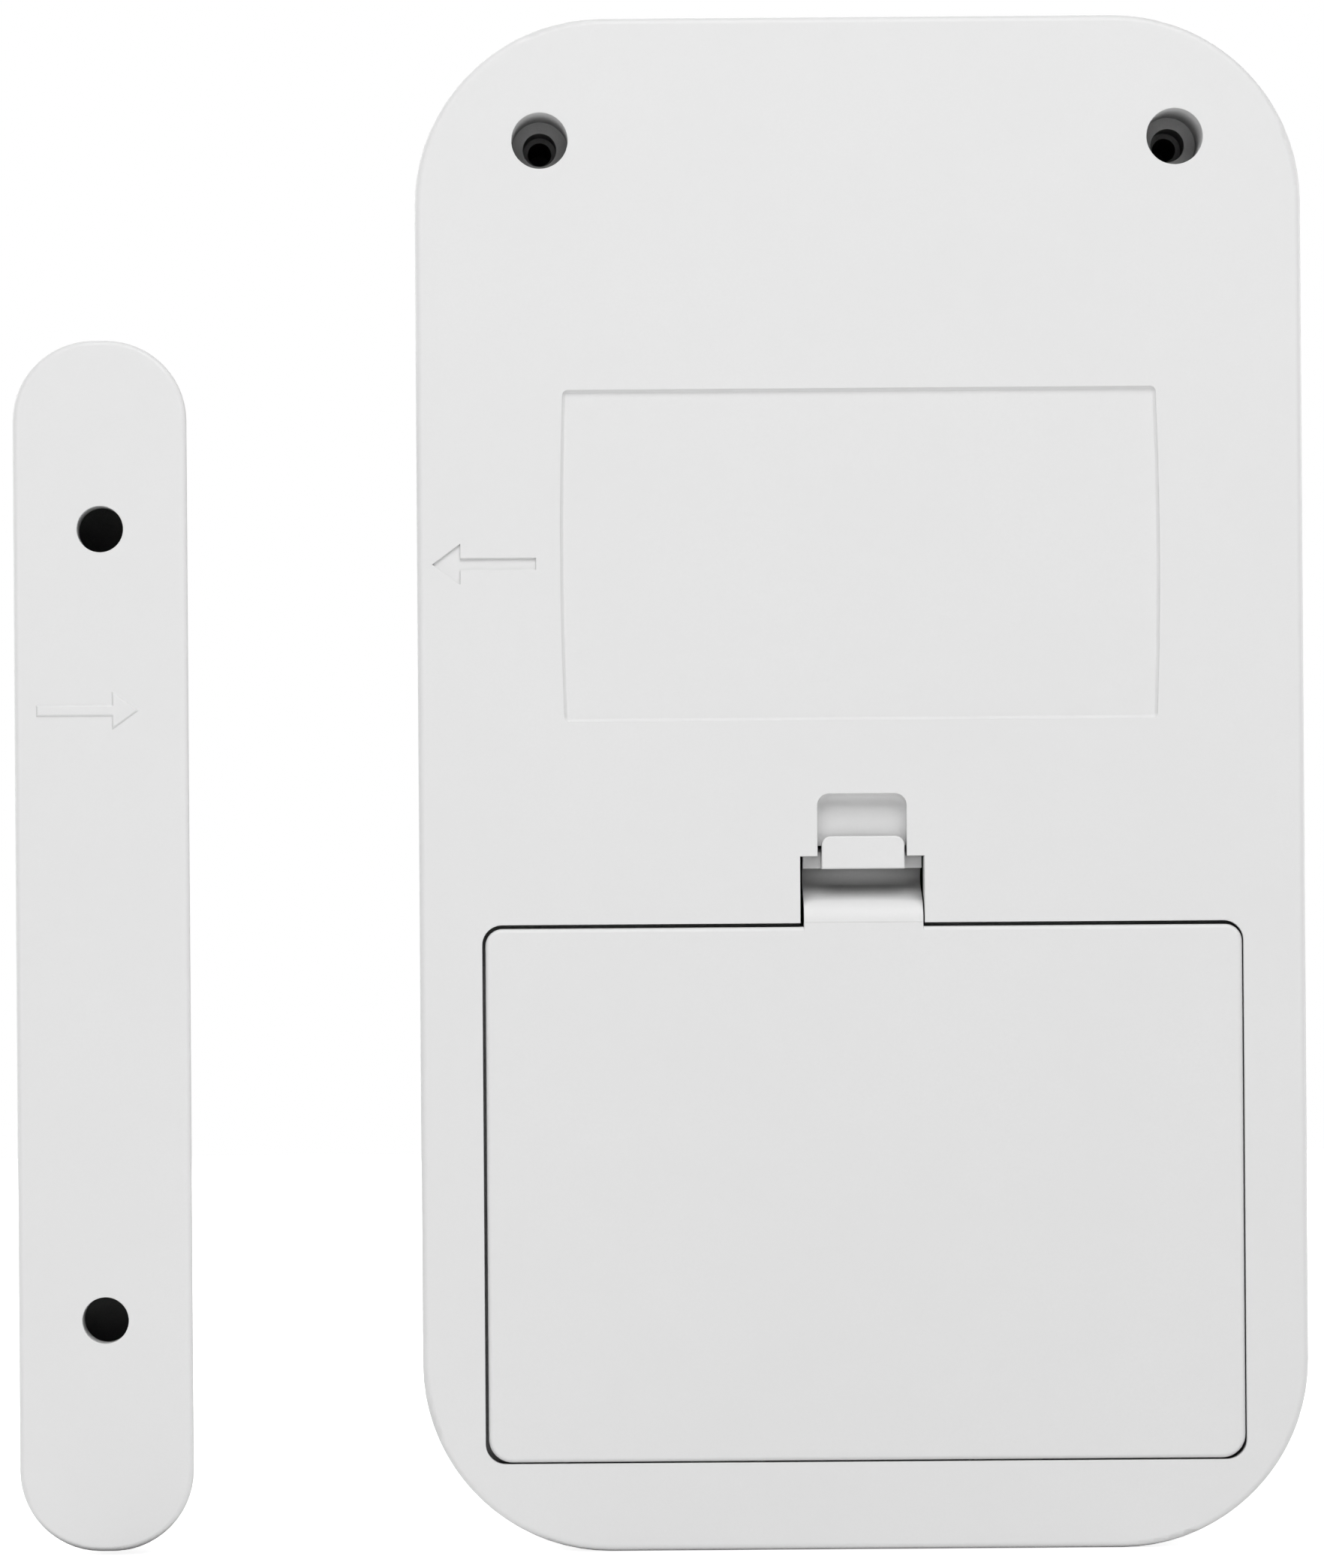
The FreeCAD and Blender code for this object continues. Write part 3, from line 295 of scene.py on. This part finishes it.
def material_for(slot):
    """The finish of one of the record's slots."""
    steel = (0.72, 0.71, 0.68, 1.0)
    makers = {
        "casing_plastic": lambda: moulded_plastic(slot, CASING_GREY, shade_openness=HOLE_SHADE_OPENNESS),
        "door_plastic": lambda: moulded_plastic(slot, CASING_GREY, shade_openness=HOLE_SHADE_OPENNESS),
        "magnet_plastic": lambda: moulded_plastic(slot, CASING_GREY, shade_openness=MAGNET_HOLE_SHADE_OPENNESS),
        "button_plastic": lambda: moulded_plastic(slot, (0.30, 0.31, 0.33, 1.0), roughness=0.42),
        "chip_resin": lambda: moulded_plastic(slot, (0.030, 0.030, 0.032, 1.0), roughness=0.60),
        "wire_red": lambda: moulded_plastic(slot, (0.50, 0.025, 0.02, 1.0), roughness=0.38),
        "wire_black": lambda: moulded_plastic(slot, (0.018, 0.018, 0.020, 1.0), roughness=0.38),
        "contact_steel": lambda: metal(slot, steel, 0.24, brush=(1.0, 1.0, 6.0)),
        "screw_steel": lambda: metal(slot, (0.62, 0.62, 0.60, 1.0), 0.32),
        "shield_tin": lambda: metal(slot, (0.66, 0.66, 0.64, 1.0), 0.38, brush=(1.0, 1.0, 8.0)),
        "magnet_metal": lambda: metal(slot, (0.55, 0.55, 0.56, 1.0), 0.30),
        "antenna_copper": lambda: metal(slot, (0.80, 0.42, 0.24, 1.0), 0.28),
        "cell_sleeve": lambda: shrunk_film(slot, (0.055, 0.075, 0.11, 1.0)),
        "board_laminate": lambda: laminate(slot, (0.02, 0.12, 0.05, 1.0)),
        "reed_glass": lambda: clear(slot, (0.86, 0.94, 0.90, 1.0), 0.03),
        "pipe_acrylic": lambda: clear(slot, grey(0.95), 0.12),
    }
    return makers[slot]()


def dress_frame(materials):
    """Gives every CAD node the finish of its slot."""
    for name, node in frame["nodes"].items():
        node.data.materials.clear()
        node.data.materials.append(materials[SLOT_OF[name]])


# ---------------------------------------------------------------- mesh helpers
def add_object(name, mesh_builder, materials):
    """A new mesh object from a bmesh, smooth except at its sharper edges."""
    mesh = bpy.data.meshes.new(name)
    bmesh.ops.recalc_face_normals(mesh_builder, faces=mesh_builder.faces)
    mesh_builder.to_mesh(mesh)
    mesh_builder.free()
    for material in materials:
        mesh.materials.append(material)
    for face in mesh.polygons:
        face.use_smooth = True
    mesh.set_sharp_from_angle(angle=SMOOTH_ANGLE)
    made = bpy.data.objects.new(name, mesh)
    bpy.context.scene.collection.objects.link(made)
    return made


def arc_points(centre, radius, start, end, steps=ARC_STEPS):
    """Points on an arc in (z, depth), from one angle to another in degrees. Angle 0 points along +Z."""
    angles = [math.radians(start + (end - start) * i / steps) for i in range(steps + 1)]
    return [(centre[0] + radius * math.cos(a), centre[1] - radius * math.sin(a)) for a in angles]


# ---------------------------------------------------------------- latch strip
def latch_strip():
    """The sprung strip between the door and the catch, which is one moulding with both."""
    low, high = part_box("latch_spring")
    start_z, end_z = low.z, high.z
    shoulder = (start_z, STRIP_FACE_DEPTH + SHOULDER_R)
    trough = (end_z - STRIP_T - TROUGH_R, -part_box("latch_catch")[0].y)
    across, down = trough[0] - shoulder[0], trough[1] - shoulder[1]
    lean = math.asin((SHOULDER_R + TROUGH_R) / math.hypot(across, down)) + math.atan2(down, across)
    steepest = 90 - math.degrees(lean)
    outer = arc_points(shoulder, SHOULDER_R, 90, steepest)
    outer += arc_points(trough, TROUGH_R, 180 + steepest, 360)
    inner = arc_points(trough, TROUGH_R + STRIP_T, 360, 180 + steepest)
    inner += arc_points(shoulder, SHOULDER_R - STRIP_T, steepest, 90)
    outline = outer + inner
    made = bmesh.new()
    rows = []
    for i in range(STRIP_ROWS + 1):
        x = low.x + (high.x - low.x) * i / STRIP_ROWS
        rows.append([made.verts.new((x, -depth, z)) for z, depth in outline])
    for left, right in zip(rows, rows[1:]):
        for i in range(len(outline)):
            j = (i + 1) % len(outline)
            made.faces.new((left[i], left[j], right[j], right[i]))
    for row in (rows[0], rows[-1]):
        for i in range(len(outer) - 1):
            made.faces.new((row[i], row[i + 1], row[-2 - i], row[-1 - i]))
    # the strip's colour gets painted shade deep in its trough
    plastic = moulded_plastic("strip_plastic", CASING_GREY, shade_openness=TROUGH_SHADE_OPENNESS)
    strip = add_object("latch_strip", made, [plastic])
    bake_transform(strip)
    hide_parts("latch_spring")


# ---------------------------------------------------------------- battery cells
def cell_profile(length, radius):
    """(distance from the negative end, radius, is metal) along the cell's outline."""
    rim = radius - CELL_SLEEVE_LIP
    shoulder = length - NUB_H
    return [
        (CELL_RIM_H, 0.0, True),
        (CELL_RIM_H, rim - CELL_RIM_W, True),
        (0.0, rim - CELL_RIM_W * 0.7, True),
        (0.0, rim, True),
        (CELL_RIM_H * 0.8, rim, False),
        (CELL_RIM_H * 0.4, radius - CELL_SLEEVE_LIP * 0.3, False),
        (CELL_SLEEVE_LIP + CELL_RIM_H, radius, False),
        (shoulder - CELL_SLEEVE_LIP - CELL_RIM_H, radius, False),
        (shoulder, radius - CELL_SLEEVE_LIP * 0.3, False),
        (shoulder, rim, False),
        (shoulder - CELL_RIM_H, rim - CELL_RIM_H, True),
        (shoulder - CELL_RIM_H, NUB_R + NUB_EDGE, True),
        (shoulder, NUB_R, True),
        (length - NUB_EDGE, NUB_R, True),
        (length, NUB_R - NUB_EDGE, True),
        (length, 0.0, True),
    ]


def battery_cell(number, materials):
    """A turned cell: steel ends, a sleeve with rolled lips, and a raised positive end."""
    name = f"battery_cell_{number}"
    low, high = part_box(name)
    length, radius = high.x - low.x, (high.z - low.z) / 2
    middle_y, middle_z = (low.y + high.y) / 2, (low.z + high.z) / 2
    plus = -1 if number % 2 else 1
    start = high.x if plus < 0 else low.x
    made = bmesh.new()
    rings = []
    profile = cell_profile(length, radius)
    for along, around, _ in profile:
        x = start + plus * along
        if around == 0.0:
            rings.append([made.verts.new((x, middle_y, middle_z))])
            continue
        turns = [2 * math.pi * i / CELL_SEGMENTS for i in range(CELL_SEGMENTS)]
        rings.append([made.verts.new((x, middle_y + around * math.cos(t), middle_z + around * math.sin(t)))
                      for t in turns])
    for step, (first, second) in enumerate(zip(rings, rings[1:])):
        for i in range(CELL_SEGMENTS):
            j = (i + 1) % CELL_SEGMENTS
            corners = [ring[k % len(ring)] for ring, k in ((first, i), (first, j), (second, j), (second, i))]
            face = made.faces.new(list(dict.fromkeys(corners)))
            face.material_index = 0 if profile[step][2] and profile[step + 1][2] else 1
    piece = add_object(f"cell_{number}", made, [materials["contact_steel"], materials["cell_sleeve"]])
    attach(piece, "main_unit")
    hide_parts(name)


# ---------------------------------------------------------------- studio
def add_floor():
    """A wide pale disc that the units stand on."""
    made = bmesh.new()
    bmesh.ops.create_circle(made, cap_ends=True, segments=FLOOR_SEGMENTS, radius=FLOOR_R)
    tree = Tree("studio_floor")
    grain = tree.noise(3 * MM)
    tree.set(Base_Color=tree.blend(grain, grey(0.93), grey(0.95)), Normal=tree.bump(grain, 0.02 * MM, 0.1))
    tree.shader.inputs["Roughness"].default_value = 0.9
    tree.shader.inputs["Emission Color"].default_value = grey(1.0)
    seen = tree.add("ShaderNodeLightPath").outputs["Is Camera Ray"]
    tree.put(tree.shader.inputs["Emission Strength"], tree.spread(seen, 0.0, FLOOR_GLOW))
    floor = add_object("studio_floor", made, [tree.material])
    floor.location = (0, 0, CAD_BOX[0].z - FLOOR_GAP)


def add_area(name, place, size, power):
    """A soft panel of light that faces the object."""
    light = bpy.data.lights.new(name, "AREA")
    light.shape = "RECTANGLE"
    light.size, light.size_y = size
    light.energy = power
    lamp = bpy.data.objects.new(name, light)
    lamp.location = place
    lamp.rotation_euler = (-Vector(place)).to_track_quat("-Z", "Y").to_euler()
    bpy.context.scene.collection.objects.link(lamp)


def add_lights():
    """Soft light on the backs from above, on the fronts and on the sides."""
    for name, (place, size, power) in LAMPS.items():
        add_area(name, place, size, power)


def add_surroundings():
    """White where the camera sees them, and a weak even light on everything."""
    world = bpy.data.worlds.new("studio")
    bpy.context.scene.world = world
    world.use_nodes = True
    nodes, links = world.node_tree.nodes, world.node_tree.links
    background = nodes["Background"]
    seen = nodes.new("ShaderNodeLightPath").outputs["Is Camera Ray"]
    strength = nodes.new("ShaderNodeMapRange")
    links.new(seen, strength.inputs["Value"])
    strength.inputs["To Min"].default_value = AMBIENT
    strength.inputs["To Max"].default_value = 1.0
    links.new(strength.outputs["Result"], background.inputs["Strength"])
    background.inputs["Color"].default_value = grey(1.0)


def add_camera():
    """Looks square on at the backs. The shift puts the view's middle beside the lens's axis."""
    camera = bpy.data.cameras.new("camera")
    camera.sensor_width = SENSOR
    camera.lens = SENSOR * CAMERA.y / VIEW_HEIGHT
    eye = bpy.data.objects.new("camera", camera)
    eye.location = CAMERA
    square_on = Matrix.Rotation(math.pi, 4, "Z") @ Matrix.Rotation(math.pi / 2, 4, "X")
    eye.rotation_euler = (square_on @ Matrix.Rotation(ROLL, 4, "Z")).to_euler()
    aside = Matrix.Rotation(-ROLL, 2) @ Vector((CAMERA.x - VIEW_CENTRE.x, VIEW_CENTRE.z - CAMERA.z))
    camera.shift_x, camera.shift_y = aside / VIEW_HEIGHT
    bpy.context.scene.collection.objects.link(eye)
    bpy.context.scene.camera = eye


# ---------------------------------------------------------------- the scene
def main():
    materials = {slot: material_for(slot) for slot in sorted(set(SLOT_OF.values()))}
    dress_frame(materials)
    latch_strip()
    for number in (1, 2, 3):
        battery_cell(number, materials)
    add_floor()
    add_lights()
    add_surroundings()
    add_camera()
    bpy.context.scene.view_settings.view_transform = "Standard"


main()
